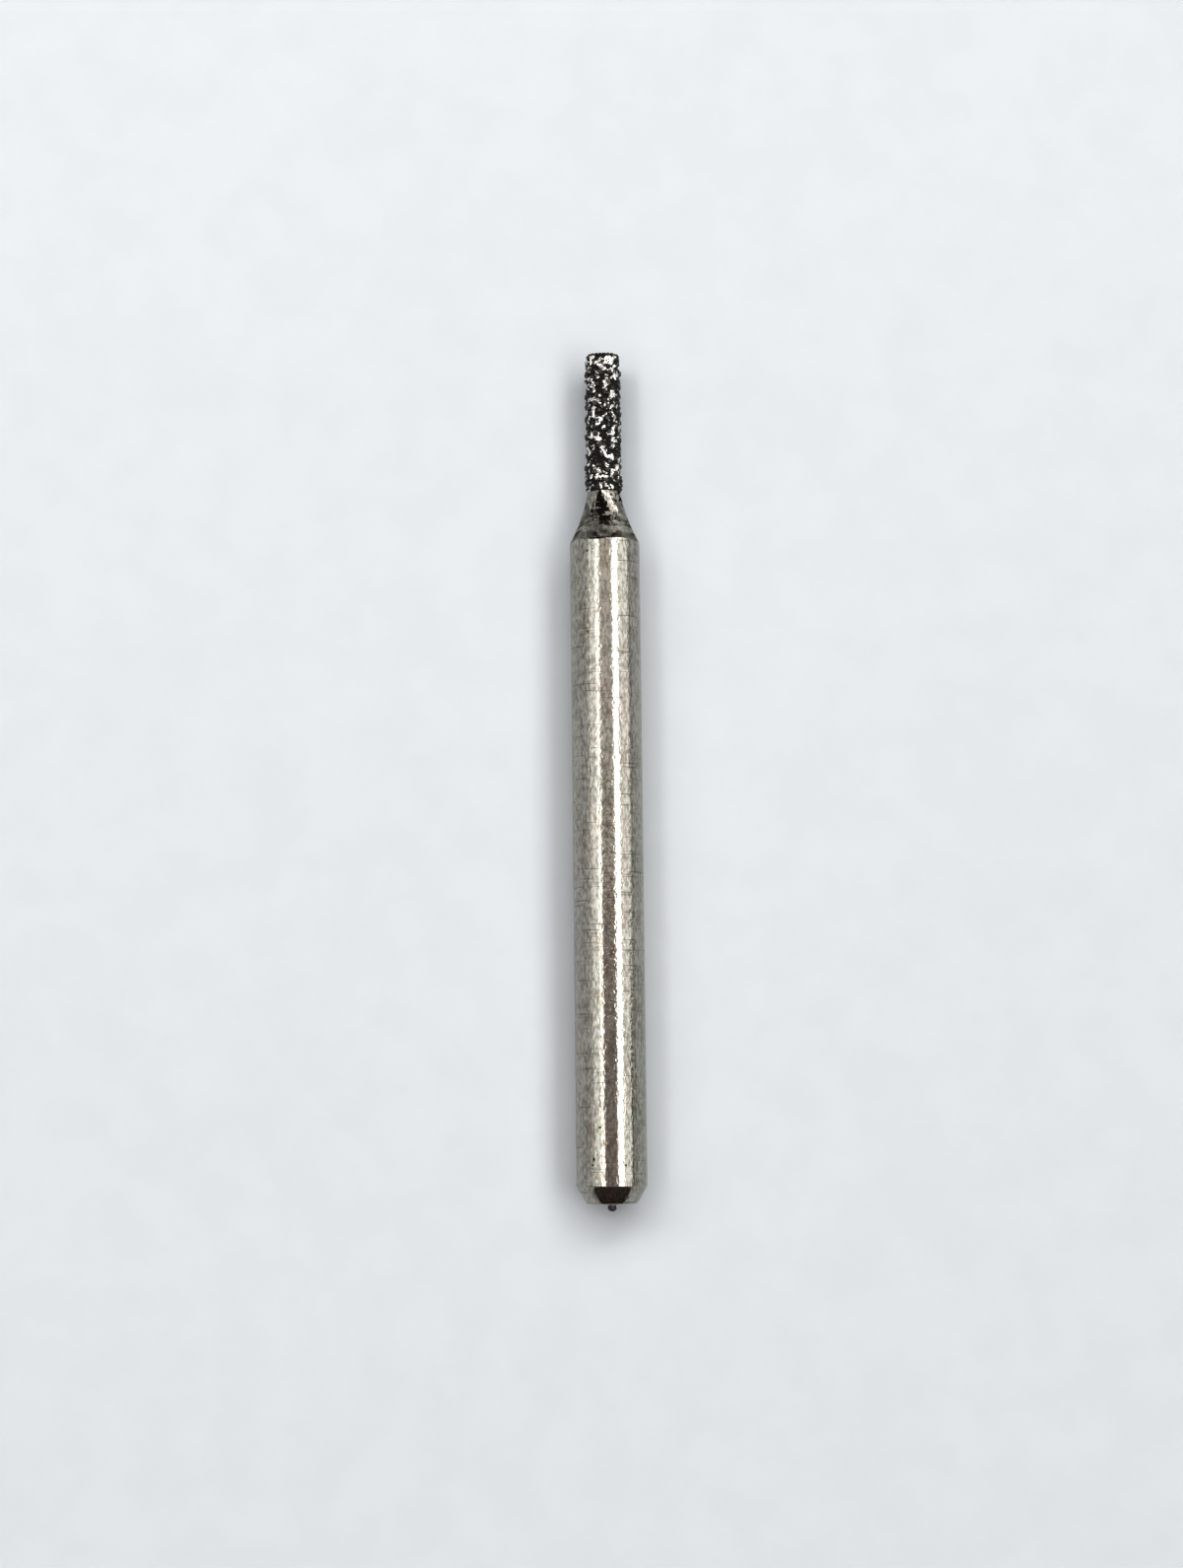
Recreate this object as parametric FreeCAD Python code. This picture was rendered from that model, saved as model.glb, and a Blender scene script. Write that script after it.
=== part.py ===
import FreeCAD, Part
import math
import os
import random

# Friction-grip dental diamond bur with a flat-ended cylindrical head, in millimetres.
# The bur lies along Y with its head towards +Y. The origin is the centre of the shank's rear face.

# Shank, turned and centreless ground
shank_d = 1.600
shank_length = 15.05
rear_chamfer_length = 0.40
rear_chamfer_depth = 0.24
edge_break = 0.025
# Nib left on the rear face where the blank was parted off the bar
nib_d = 0.20
nib_length = 0.18
nib_root = 0.03
nib_end_break = 0.06
# Waisted neck between the shoulder and the coat, and the slim core that carries the coat
neck_arc_r = 4.10
bare_neck_length = 1.20
core_d = 0.58
core_end_break = 0.03
# Electroplated nickel that holds the grit
coat_length = 3.19
bond_thickness = 0.070
bond_end_break = 0.03
bond_run_out = 0.45
bond_lip = 0.022
# Diamond grit, by the sieve
grit_size = 0.125
grit_spread = 0.13
grit_width_ratio = 1.55
grit_film = 0.008
grit_least_buried = 0.40
grit_cover = 0.45
grit_gap = 0.008
grit_end_margin = 0.015
# Wear at the tip, where the grit is ground down almost to the nickel
worn_length = 0.17
worn_proud = 0.010

# Shape of one crystal: a truncated bipyramid, in shares of its half width and height
crystal_sides = (4, 4, 5)
crystal_girdle_range = (0.84, 1.00)
crystal_top_range = (0.48, 0.70)
crystal_girdle_height = 0.33
crystal_lean = 0.16
crystal_tilt_deg = 15.0
crystal_corner_jitter_deg = 14.0

scatter_seed = 835
scatter_tries = 20000

shank_r = shank_d / 2
core_r = core_d / 2
nib_r = nib_d / 2
bond_r = core_r + bond_thickness
girdle_r = core_r + grit_film + crystal_girdle_height * grit_size

# The neck's arc starts at the shoulder and ends tangent to the core
neck_drop = shank_r - core_r
neck_end_y = shank_length + math.sqrt(neck_arc_r ** 2 - (neck_arc_r - neck_drop) ** 2)
coat_end_y = shank_length + bare_neck_length
bond_tip_y = coat_end_y + coat_length
blank_tip_y = bond_tip_y - bond_thickness

along_axis = FreeCAD.Vector(0, 1, 0)


def steel_r(along):
    """The blank's radius ahead of the shoulder: the neck's arc, then the core."""
    from_end = max(neck_end_y - along, 0.0)
    return core_r + neck_arc_r - math.sqrt(neck_arc_r ** 2 - from_end ** 2)


def bond_outer_r(along):
    """The nickel's outer radius: a cylinder that flares where it runs out on the neck."""
    behind = max(coat_end_y + bond_run_out - along, 0.0)
    flare = steel_r(coat_end_y) + bond_lip - bond_r
    return bond_r + flare * behind / bond_run_out


def profile_point(radius, along):
    """A point of a turned profile, at a radius and a distance along the axis."""
    return FreeCAD.Vector(radius, along, 0)


def straight(*corners):
    """The straight edges through a row of profile corners, each a radius and a distance."""
    points = [profile_point(*c) for c in corners]
    return [Part.LineSegment(a, b).toShape() for a, b in zip(points, points[1:])]


def turned(edges):
    """The solid turned by a closed profile about the Y axis."""
    return Part.Face(Part.Wire(edges)).revolve(FreeCAD.Vector(0, 0, 0), along_axis, 360)


def turned_blank():
    """The one-piece steel blank: nib, rear chamfer, shank, shoulder, neck and core."""
    break_start_y = shank_length - edge_break
    # The shoulder's sharp edge is broken where the neck is this much slimmer than the shank
    neck_start_y = shank_length + edge_break
    rear = straight(
        (0, -nib_length),
        (nib_r - nib_end_break, -nib_length),
        (nib_r, nib_end_break - nib_length),
        (nib_r, -nib_root),
        (nib_r + nib_root, 0),
        (shank_r - rear_chamfer_depth, 0),
        (shank_r, rear_chamfer_length),
        (shank_r, break_start_y),
        (steel_r(neck_start_y), neck_start_y),
    )
    middle_y = (neck_start_y + neck_end_y) / 2
    neck = Part.Arc(
        profile_point(steel_r(neck_start_y), neck_start_y),
        profile_point(steel_r(middle_y), middle_y),
        profile_point(core_r, neck_end_y),
    )
    core = straight(
        (core_r, neck_end_y),
        (core_r, blank_tip_y - core_end_break),
        (core_r - core_end_break, blank_tip_y),
        (0, blank_tip_y),
        (0, -nib_length),
    )
    return turned(rear + [neck.toShape()] + core)


def plain_bond(blank):
    """The nickel coat before its pockets are cut: a closed sleeve that is seated on the blank."""
    outside = straight(
        (0, coat_end_y),
        (bond_outer_r(coat_end_y), coat_end_y),
        (bond_r, coat_end_y + bond_run_out),
        (bond_r, bond_tip_y - bond_end_break),
        (bond_r - bond_end_break, bond_tip_y),
        (0, bond_tip_y),
        (0, coat_end_y),
    )
    return turned(outside).cut(blank)


class Crystal:
    """One diamond: a foot point, a girdle and a top face, with heights counted from the foot."""

    def __init__(self, rng, height):
        heading = rng.uniform(0, 2 * math.pi)
        lean = FreeCAD.Vector(math.cos(heading), math.sin(heading), 0)
        tilt = FreeCAD.Rotation(lean, rng.uniform(-crystal_tilt_deg, crystal_tilt_deg))
        top_share = rng.uniform(*crystal_top_range)
        top_centre = lean * crystal_lean * rng.uniform(0, 1)
        top_centre.z = 1 - crystal_girdle_height
        outline = self.outline(rng)
        foot = tilt.multVec(FreeCAD.Vector(0, 0, -crystal_girdle_height))
        girdle = [tilt.multVec(c) for c in outline]
        top = [tilt.multVec(c * top_share + top_centre) for c in outline]
        scale = height / (max(c.z for c in top) - foot.z)
        rise = FreeCAD.Vector(0, 0, -foot.z)
        self.foot = (foot + rise) * scale
        self.girdle = [(c + rise) * scale for c in girdle]
        self.top = [(c + rise) * scale for c in top]
        self.reach = max(math.hypot(c.x, c.y) for c in self.girdle + self.top)

    def outline(self, rng):
        """The girdle's uneven corners, for a crystal of unit height."""
        corners = []
        sides = rng.choice(crystal_sides)
        spin = rng.uniform(0, 360)
        for i in range(sides):
            jitter = rng.uniform(-crystal_corner_jitter_deg, crystal_corner_jitter_deg)
            angle = math.radians(spin + 360 * i / sides + jitter)
            r = grit_width_ratio / 2 * rng.uniform(*crystal_girdle_range)
            corners.append(FreeCAD.Vector(r * math.cos(angle), r * math.sin(angle), 0))
        return corners

    def solid(self, seat, across, along, outward):
        """The crystal with its foot on a seat and its height along the outward direction."""

        def placed(c):
            return seat + across * c.x + along * c.y + outward * c.z

        foot = placed(self.foot)
        girdle = [placed(c) for c in self.girdle]
        top = [placed(c) for c in self.top]
        faces = [top]
        for i in range(len(girdle)):
            j = (i + 1) % len(girdle)
            faces.append([foot, girdle[j], girdle[i]])
            faces.append([girdle[i], girdle[j], top[j], top[i]])
        shell = Part.Shell([Part.Face(Part.makePolygon(f + f[:1])) for f in faces])
        shell.sewShape()
        return Part.Solid(shell)


def grain_height(rng, along):
    """A height out of the sieve's range, or less where the nickel is too thin to hold that."""
    drawn = grit_size * rng.uniform(1 - grit_spread, 1 + grit_spread)
    held = (bond_outer_r(along) - steel_r(along) - grit_film) / grit_least_buried
    return min(drawn, held)


def is_free(place, reach, taken, girth=math.inf):
    """Whether a footprint clears the others on a chart, which may wrap round after a girth."""
    for other, other_reach in taken:
        apart = abs(place[0] - other[0])
        apart = min(apart, girth - apart)
        if math.hypot(apart, place[1] - other[1]) < reach + other_reach + grit_gap:
            return False
    return True


def side_grains(rng):
    """Crystals scattered round the head's side, each with its height along its own radius."""
    girth = 2 * math.pi * girdle_r
    first_y = coat_end_y + grit_end_margin
    last_y = bond_tip_y - bond_end_break
    to_cover = grit_cover * girth * coat_length
    taken = []
    grains = []
    for _ in range(scatter_tries):
        if to_cover <= 0:
            break
        place = (rng.uniform(0, girth), rng.uniform(first_y, last_y))
        crystal = Crystal(rng, grain_height(rng, place[1]))
        rear_y = place[1] - crystal.reach
        front_y = place[1] + crystal.reach
        if rear_y < first_y or front_y > last_y or not is_free(place, crystal.reach, taken, girth):
            continue
        taken.append((place, crystal.reach))
        to_cover -= math.pi * crystal.reach ** 2
        angle = place[0] / girdle_r
        outward = FreeCAD.Vector(math.cos(angle), 0, math.sin(angle))
        across = FreeCAD.Vector(-math.sin(angle), 0, math.cos(angle))
        seat = outward * (steel_r(rear_y) + grit_film) + along_axis * place[1]
        grain = crystal.solid(seat, along_axis, across, outward)
        if front_y > bond_tip_y - worn_length:
            grain = worn_down(grain)
        grains.append(grain)
    return grains


def end_grains(rng):
    """Crystals on the head's flat end, all of them worn."""
    rim = core_r
    to_cover = grit_cover * math.pi * rim ** 2
    taken = []
    grains = []
    for _ in range(scatter_tries):
        if to_cover <= 0:
            break
        place = (rng.uniform(-rim, rim), rng.uniform(-rim, rim))
        crystal = Crystal(rng, grain_height(rng, bond_tip_y))
        if math.hypot(*place) + crystal.reach > rim or not is_free(place, crystal.reach, taken):
            continue
        taken.append((place, crystal.reach))
        to_cover -= math.pi * crystal.reach ** 2
        seat = FreeCAD.Vector(place[0], blank_tip_y + grit_film, place[1])
        across = FreeCAD.Vector(0, 0, 1)
        grains.append(worn_down(crystal.solid(seat, across, FreeCAD.Vector(1, 0, 0), along_axis)))
    return grains


def worn_down(grain):
    """A crystal ground off at the envelope that is left round the worn tip."""
    start = FreeCAD.Vector(0, 0, 0)
    envelope = Part.makeCylinder(bond_r + worn_proud, bond_tip_y + worn_proud, start, along_axis)
    return grain.common(envelope).Solids[0]


os.makedirs("parts", exist_ok=True)
rng = random.Random(scatter_seed)
blank = turned_blank()
grains = side_grains(rng) + end_grains(rng)
bond = plain_bond(blank).cut(grains)
blank.exportStep("parts/turned_blank.step")
bond.exportStep("parts/nickel_bond.step")
Part.makeCompound(grains).exportStep("parts/diamond_grit.step")
print(len(grains), "crystals")
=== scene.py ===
"""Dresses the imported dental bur: a ground steel blank, a nickel bond and its diamond grit.

The pieces are modelled in millimetres and brought down to metres when they are finished, because
the thresholds of the modelling operators are too coarse for a 20 mm object drawn in metres.
"""

import logging
import math
import random
from collections.abc import Sequence
from dataclasses import dataclass
from enum import Enum

import bmesh
import bpy
from mathutils import Euler, Matrix, Vector
from mathutils.bvhtree import BVHTree


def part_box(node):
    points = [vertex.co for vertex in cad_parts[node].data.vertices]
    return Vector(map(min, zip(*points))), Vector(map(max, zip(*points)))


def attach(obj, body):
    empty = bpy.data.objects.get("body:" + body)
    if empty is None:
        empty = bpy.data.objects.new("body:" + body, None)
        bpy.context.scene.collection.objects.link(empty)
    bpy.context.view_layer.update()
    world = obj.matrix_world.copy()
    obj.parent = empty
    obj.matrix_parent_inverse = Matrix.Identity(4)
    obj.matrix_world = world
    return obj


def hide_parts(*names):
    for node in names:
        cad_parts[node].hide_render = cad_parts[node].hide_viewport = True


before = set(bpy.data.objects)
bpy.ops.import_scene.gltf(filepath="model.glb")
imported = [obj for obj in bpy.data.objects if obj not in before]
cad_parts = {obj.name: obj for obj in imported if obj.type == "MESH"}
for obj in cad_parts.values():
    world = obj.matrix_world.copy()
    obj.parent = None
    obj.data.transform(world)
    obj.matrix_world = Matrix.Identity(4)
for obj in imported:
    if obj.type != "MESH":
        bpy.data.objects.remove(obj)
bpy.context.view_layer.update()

log = logging.getLogger("bur")

METRES_PER_MM = 0.001

# Points of a turned piece that lie closer than this are one point
MERGE_MM = 0.0002

# The photograph has a phone camera's contrast: its middle tones are darker than the light makes them
PHONE_GAMMA = 0.72

# A corner of a turned profile, as radius and distance along the axis
Corner = tuple[float, float]
# The two ends of a range, a ramp or a band
Span = tuple[float, float]
# Sizes or places along X, Y and Z
Triple = tuple[float, float, float]
Socket = bpy.types.NodeSocket


class Slot(Enum):
    """The material slots that the record names."""

    STEEL = "ground_steel"
    NICKEL = "plated_nickel"
    DIAMOND = "diamond"


# Working in millimetres


def linear(hex_colour: str) -> tuple[float, float, float, float]:
    """Turns an sRGB hex colour to the linear colour that shaders and lights take.

    Args:
        hex_colour: A colour such as "#c0c0c0".

    Returns:
        Red, green, blue and an alpha of one.
    """
    levels = [int(hex_colour[i:i + 2], 16) / 255 for i in (1, 3, 5)]
    curve = [c / 12.92 if c <= 0.04045 else ((c + 0.055) / 1.055) ** 2.4 for c in levels]
    return (curve[0], curve[1], curve[2], 1.0)


def node_box_mm(node: str) -> tuple[Vector, Vector]:
    """Gives a CAD node's lowest and highest corners in millimetres.

    Args:
        node: The node's name.

    Returns:
        The two corners.
    """
    low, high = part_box(node)
    return Vector(low) / METRES_PER_MM, Vector(high) / METRES_PER_MM


def deselect_all() -> None:
    """Deselects every object, so that no operator touches a CAD node."""
    bpy.ops.object.select_all(action="DESELECT")


def pick(piece: bpy.types.Object) -> None:
    """Makes one object the only selected one and the active one.

    Args:
        piece: The object.
    """
    deselect_all()
    piece.select_set(True)
    bpy.context.view_layer.objects.active = piece


def edit_all() -> None:
    """Enters edit mode on the active object with all of its mesh selected."""
    bpy.ops.object.mode_set(mode="EDIT")
    bpy.ops.mesh.select_all(action="SELECT")


def leave_edit() -> None:
    """Goes back to object mode."""
    bpy.ops.object.mode_set(mode="OBJECT")


def turned(name: str, profile: Sequence[Corner], steps: int) -> bpy.types.Object:
    """Turns a profile about the Y axis, as on a lathe.

    Args:
        name: The new object's name.
        profile: Corners as radius and distance along the axis, in millimetres.
        steps: The number of steps round the turn.

    Returns:
        A closed mesh with its normals outwards, selected and active, in millimetres.
    """
    deselect_all()
    first_r, first_y = profile[0]
    bpy.ops.mesh.primitive_plane_add(location=(first_r, first_y, 0))
    piece = bpy.context.object
    piece.name = name
    piece.data.name = name
    edit_all()
    bpy.ops.mesh.merge(type="CENTER")
    for (r, y), (next_r, next_y) in zip(profile, profile[1:]):
        step = (next_r - r, next_y - y, 0)
        bpy.ops.mesh.extrude_vertices_move(TRANSFORM_OT_translate={"value": step})
    bpy.ops.mesh.select_all(action="SELECT")
    bpy.ops.mesh.spin(steps=steps, angle=2 * math.pi, center=(0, 0, 0), axis=(0, 1, 0))
    bpy.ops.mesh.select_all(action="SELECT")
    bpy.ops.mesh.remove_doubles(threshold=MERGE_MM)
    bpy.ops.mesh.normals_make_consistent(inside=False)
    leave_edit()
    bpy.ops.object.transform_apply(location=True, rotation=True, scale=True)
    return piece


def divided(corners: Sequence[Corner], pitch: float) -> list[Corner]:
    """Divides the straight runs of a profile into even steps.

    Args:
        corners: The profile's corners.
        pitch: The longest step, in millimetres.

    Returns:
        The corners with the points between them.
    """
    points = [corners[0]]
    for (r, y), (next_r, next_y) in zip(corners, corners[1:]):
        count = max(1, math.ceil(math.hypot(next_r - r, next_y - y) / pitch))
        for i in range(1, count + 1):
            points.append((r + (next_r - r) * i / count, y + (next_y - y) * i / count))
    return points


def bowed(start: Corner, stop: Corner, bow: float, count: int) -> list[Corner]:
    """Draws a line between two corners that bows a little out of the metal.

    Args:
        start: The first corner.
        stop: The last corner, farther along the axis.
        bow: How far the middle stands out, in millimetres.
        count: The number of steps.

    Returns:
        Corners of the profile, both ends with them.
    """
    run = (stop[0] - start[0], stop[1] - start[1])
    length = math.hypot(*run)
    points = []
    for i in range(count + 1):
        t = i / count
        out = 4 * bow * t * (1 - t) / length
        points.append((start[0] + run[0] * t + run[1] * out, start[1] + run[1] * t - run[0] * out))
    return points


def apply_modifiers(piece: bpy.types.Object) -> None:
    """Applies an object's modifiers in their order.

    Args:
        piece: The object.
    """
    pick(piece)
    for name in [m.name for m in piece.modifiers]:
        bpy.ops.object.modifier_apply(modifier=name)


def add_modifier(piece: bpy.types.Object, kind: str, **settings: object) -> bpy.types.Modifier:
    """Adds a modifier with its settings.

    Args:
        piece: The object that gets it.
        kind: The modifier's type, such as "BEVEL".
        **settings: Its properties by name.

    Returns:
        The modifier.
    """
    modifier = piece.modifiers.new(kind.lower(), kind)
    for key, value in settings.items():
        setattr(modifier, key, value)
    return modifier


def add_group(piece: bpy.types.Object, name: str, indices: list[int]) -> str:
    """Adds a vertex group at full weight.

    Args:
        piece: The object that gets it.
        name: The group's name.
        indices: Its vertices.

    Returns:
        The group's name.
    """
    group = piece.vertex_groups.new(name=name)
    group.add(indices, 1.0, "REPLACE")
    return group.name


def nodule_texture(kind: str, size: float) -> bpy.types.Texture:
    """Makes a height texture for a Displace modifier.

    Args:
        kind: The texture's type, such as "CLOUDS".
        size: The size of its features, in millimetres.

    Returns:
        The texture.
    """
    texture = bpy.data.textures.new(f"{kind.lower()}_{size}", kind)
    texture.noise_scale = size
    return texture


def to_metres(piece: bpy.types.Object) -> None:
    """Brings a piece from millimetres to metres, with its object left at the origin and unscaled.

    Args:
        piece: The finished piece.
    """
    pick(piece)
    piece.scale = (METRES_PER_MM,) * 3
    bpy.ops.object.transform_apply(location=True, rotation=True, scale=True)
    deselect_all()


def hand_over(piece: bpy.types.Object, slot: Slot, material: bpy.types.Material, *nodes: str) -> None:
    """Gives a finished piece its body and its finish, and hides the CAD nodes that it replaces.

    Args:
        piece: The finished piece, in metres.
        slot: Not used.
        material: The finish.
        *nodes: The CAD nodes that it replaces.
    """
    piece.data.materials.clear()
    piece.data.materials.append(material)
    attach(piece, "root")
    if nodes:
        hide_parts(*nodes)
    log.info("%s: %d faces", piece.name, len(piece.data.polygons))


# Finishes

# A Map Range node with these has a smooth step in place of a straight ramp
SMOOTH = {"interpolation_type": "SMOOTHSTEP"}


def add_node(
    tree: bpy.types.NodeTree,
    kind: str,
    settings: dict[str, object] | None = None,
    inputs: dict[str | int, object] | Sequence[object] = (),
) -> bpy.types.Node:
    """Adds a node with its settings and links.

    Args:
        tree: The tree that gets the node.
        kind: The node's type without "ShaderNode".
        settings: The node's own properties by name.
        inputs: For each input, by name or in order, a socket to link, a hex colour or a value.

    Returns:
        The node.
    """
    node = tree.nodes.new("ShaderNode" + kind)
    for key, value in (settings or {}).items():
        setattr(node, key, value)
    if not isinstance(inputs, dict):
        inputs = dict(enumerate(inputs))
    for key, value in inputs.items():
        if isinstance(value, Socket):
            tree.links.new(value, node.inputs[key])
            continue
        if isinstance(value, str):
            value = linear(value)
        node.inputs[key].default_value = value
    return node


def place_in_mm(tree: bpy.types.NodeTree) -> Socket:
    """Gives the place on the piece in millimetres, from its Object coordinates.

    Args:
        tree: The material's tree.

    Returns:
        A vector socket.
    """
    place = add_node(tree, "TexCoord").outputs["Object"]
    inputs = {0: place, "Scale": 1 / METRES_PER_MM}
    return add_node(tree, "VectorMath", {"operation": "SCALE"}, inputs).outputs[0]


def noise(
    tree: bpy.types.NodeTree,
    place: Socket,
    grain_mm: Sequence[float],
    detail: float = 2.0,
) -> Socket:
    """Draws a noise whose grain has a real size along each axis.

    Args:
        tree: The material's tree.
        place: The place in millimetres.
        grain_mm: The grain's size along X, Y and Z, in millimetres.
        detail: The number of finer octaves.

    Returns:
        The noise's value, around one half.
    """
    per_mm = tuple(1 / g for g in grain_mm)
    scaled = add_node(tree, "VectorMath", {"operation": "MULTIPLY"}, (place, per_mm)).outputs[0]
    inputs = {"Vector": scaled, "Scale": 1.0, "Detail": detail}
    return add_node(tree, "TexNoise", None, inputs).outputs[0]


def zone(
    tree: bpy.types.NodeTree,
    *edges: tuple[Socket, Span],
    whole: Socket | float = 1.0,
) -> Socket:
    """Marks the places where every one of some values is past its soft edge.

    Args:
        tree: The material's tree.
        *edges: Each value, and the levels where its mark starts and where it is whole.
        whole: What the mark gives where it is whole.

    Returns:
        The mark, which is zero where one of the values isn't at its edge yet.
    """
    for value, levels in edges:
        inputs = (value, *levels, 0.0, whole)
        whole = add_node(tree, "MapRange", SMOOTH, inputs).outputs[0]
    return whole


def band(tree: bpy.types.NodeTree, value: Socket, ends: Span, soft: float) -> Socket:
    """Marks the places where a value lies between two levels.

    Args:
        tree: The material's tree.
        value: The value.
        ends: The lower and the upper level.
        soft: How far each edge of the mark fades, to either side.

    Returns:
        One between the levels and zero outside them.
    """
    low, high = ends
    return zone(tree, (value, (low - soft, low + soft)), (value, (high + soft, high - soft)))


def layered(
    tree: bpy.types.NodeTree,
    ground: Socket | str,
    *layers: tuple[Socket, Socket | str],
) -> Socket:
    """Lays colours over one another, each a hex colour or a socket.

    Args:
        tree: The material's tree.
        ground: The colour under the others.
        *layers: The share of each layer that shows, and its colour.

    Returns:
        The colour.
    """
    for share, colour in layers:
        inputs = {0: share, 6: ground, 7: colour}
        ground = add_node(tree, "Mix", {"data_type": "RGBA"}, inputs).outputs[2]
    return ground


def relief(tree: bpy.types.NodeTree, *layers: tuple[Socket, float]) -> Socket:
    """Lays reliefs over one another.

    Args:
        tree: The material's tree.
        *layers: Each relief's height from zero to one, and its real depth in millimetres.

    Returns:
        The normal.
    """
    under: dict[str, object] = {}
    for height, depth_mm in layers:
        inputs = {"Height": height, "Distance": depth_mm * METRES_PER_MM, **under}
        under = {"Normal": add_node(tree, "Bump", None, inputs).outputs[0]}
    return under["Normal"]


def new_material(name: str) -> tuple[bpy.types.Material, bpy.types.NodeTree]:
    """Makes a material with no nodes.

    Args:
        name: The material's name.

    Returns:
        The material and its tree.
    """
    material = bpy.data.materials.new(name)
    material.use_nodes = True
    material.node_tree.nodes.clear()
    return material, material.node_tree


def add_shader(tree: bpy.types.NodeTree, inputs: dict[str | int, object]) -> None:
    """Adds the Principled shader and the output that it feeds.

    Args:
        tree: The material's tree.
        inputs: For each of the shader's inputs, a socket to link or a value to set.
    """
    shader = add_node(tree, "BsdfPrincipled", None, inputs)
    add_node(tree, "OutputMaterial", None, (shader.outputs[0],))


@dataclass(frozen=True)
class NeckDirtAndShade:
    """The dirt and painted shade on the neck: dirt in its dents and beside the coat, and painted shade,
    for the dark reflections that it would show, low on its foot and in a ring near the shoulder.

    It is a brown-black colour that hides the metal where it is thick. One ring of it is worn away, and
    so is most of it where the neck is scuffed. Spans in millimetres count ahead of the shoulder,
    apart from foot_height_mm and residue_across_mm, which count from the axis, up and to the right.
    """

    uneven_mm: float = 0.28
    uneven_reach_mm: float = 0.14
    dent_levels: Span = (0.60, 0.35)
    dent_share: float = 0.6
    fade_mm: float = 0.03
    # Painted shade: the ring near the shoulder and the foot below it are darkened for dark reflections
    ring_mm: Span = (0.03, 0.17)
    ring_share: float = 0.45
    foot_start_mm: Span = (0.02, 0.16)
    foot_end_mm: Span = (0.90, 0.25)
    foot_height_mm: Span = (0.62, 0.30)
    foot_shares: Span = (0.10, 0.75)
    residue_mm: float = 0.10
    residue_levels: Span = (0.56, 0.46)
    residue_across_mm: Span = (0.06, 0.20)
    residue_ahead_mm: Span = (0.68, 0.95)
    residue_share: float = 0.90
    worn_mm: Span = (0.19, 0.33)
    worn_share: float = 0.25

    def lay(
        self,
        tree: bpy.types.NodeTree,
        place: Socket,
        ahead: Socket,
        on_neck: Socket,
        dents: Socket,
        scuffs: Socket,
    ) -> tuple[Socket, Socket, Socket]:
        """Lays the dirt and the painted shade on the neck.

        Args:
            tree: The material's tree.
            place: The place in millimetres.
            ahead: The distance ahead of the shoulder, in millimetres.
            on_neck: Where the neck is.
            dents: The height of the dented surface, from zero to one.
            scuffs: Where the neck is scuffed.

        Returns:
            The worn ring, the residue beside the coat and all of the dirt and painted shade, each from
            zero to one.
        """
        across, _, height = add_node(tree, "SeparateXYZ", None, (place,)).outputs
        uneven = noise(tree, place, (self.uneven_mm,) * 3, detail=3.0)
        inputs = (uneven, 0.0, 1.0, -self.uneven_reach_mm, self.uneven_reach_mm)
        uneven = add_node(tree, "MapRange", None, inputs).outputs[0]
        ahead = add_node(tree, "Math", {"operation": "ADD"}, (ahead, uneven)).outputs[0]

        worn = band(tree, ahead, self.worn_mm, self.fade_mm)
        # Painted shade: a dark ring near the shoulder
        ring = band(tree, ahead, self.ring_mm, self.fade_mm)
        # Painted shade: the foot is darker the lower it lies
        inputs = (height, *self.foot_height_mm, *self.foot_shares)
        low_down = add_node(tree, "MapRange", SMOOTH, inputs).outputs[0]
        foot = zone(tree, (ahead, self.foot_start_mm), (ahead, self.foot_end_mm), whole=low_down)
        crumbs = noise(tree, place, (self.residue_mm,) * 3)
        residue = zone(
            tree,
            (crumbs, self.residue_levels),
            (across, self.residue_across_mm),
            (ahead, self.residue_ahead_mm),
        )
        in_dents = zone(tree, (dents, self.dent_levels), whole=on_neck)

        dirt_and_shade = foot
        marks = (
            (in_dents, self.dent_share),
            (ring, self.ring_share),
            (residue, self.residue_share),
        )
        for mark, share in marks:
            thin = add_node(tree, "Math", {"operation": "MULTIPLY"}, (mark, share)).outputs[0]
            dirt_and_shade = add_node(tree, "Math", {"operation": "MAXIMUM"}, (dirt_and_shade, thin)).outputs[0]
        for mark in (worn, scuffs):
            inputs = (mark, 0.0, 1.0, 1.0, self.worn_share)
            left = add_node(tree, "MapRange", None, inputs).outputs[0]
            dirt_and_shade = add_node(tree, "Math", {"operation": "MULTIPLY"}, (dirt_and_shade, left)).outputs[0]
        return worn, residue, dirt_and_shade


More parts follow.
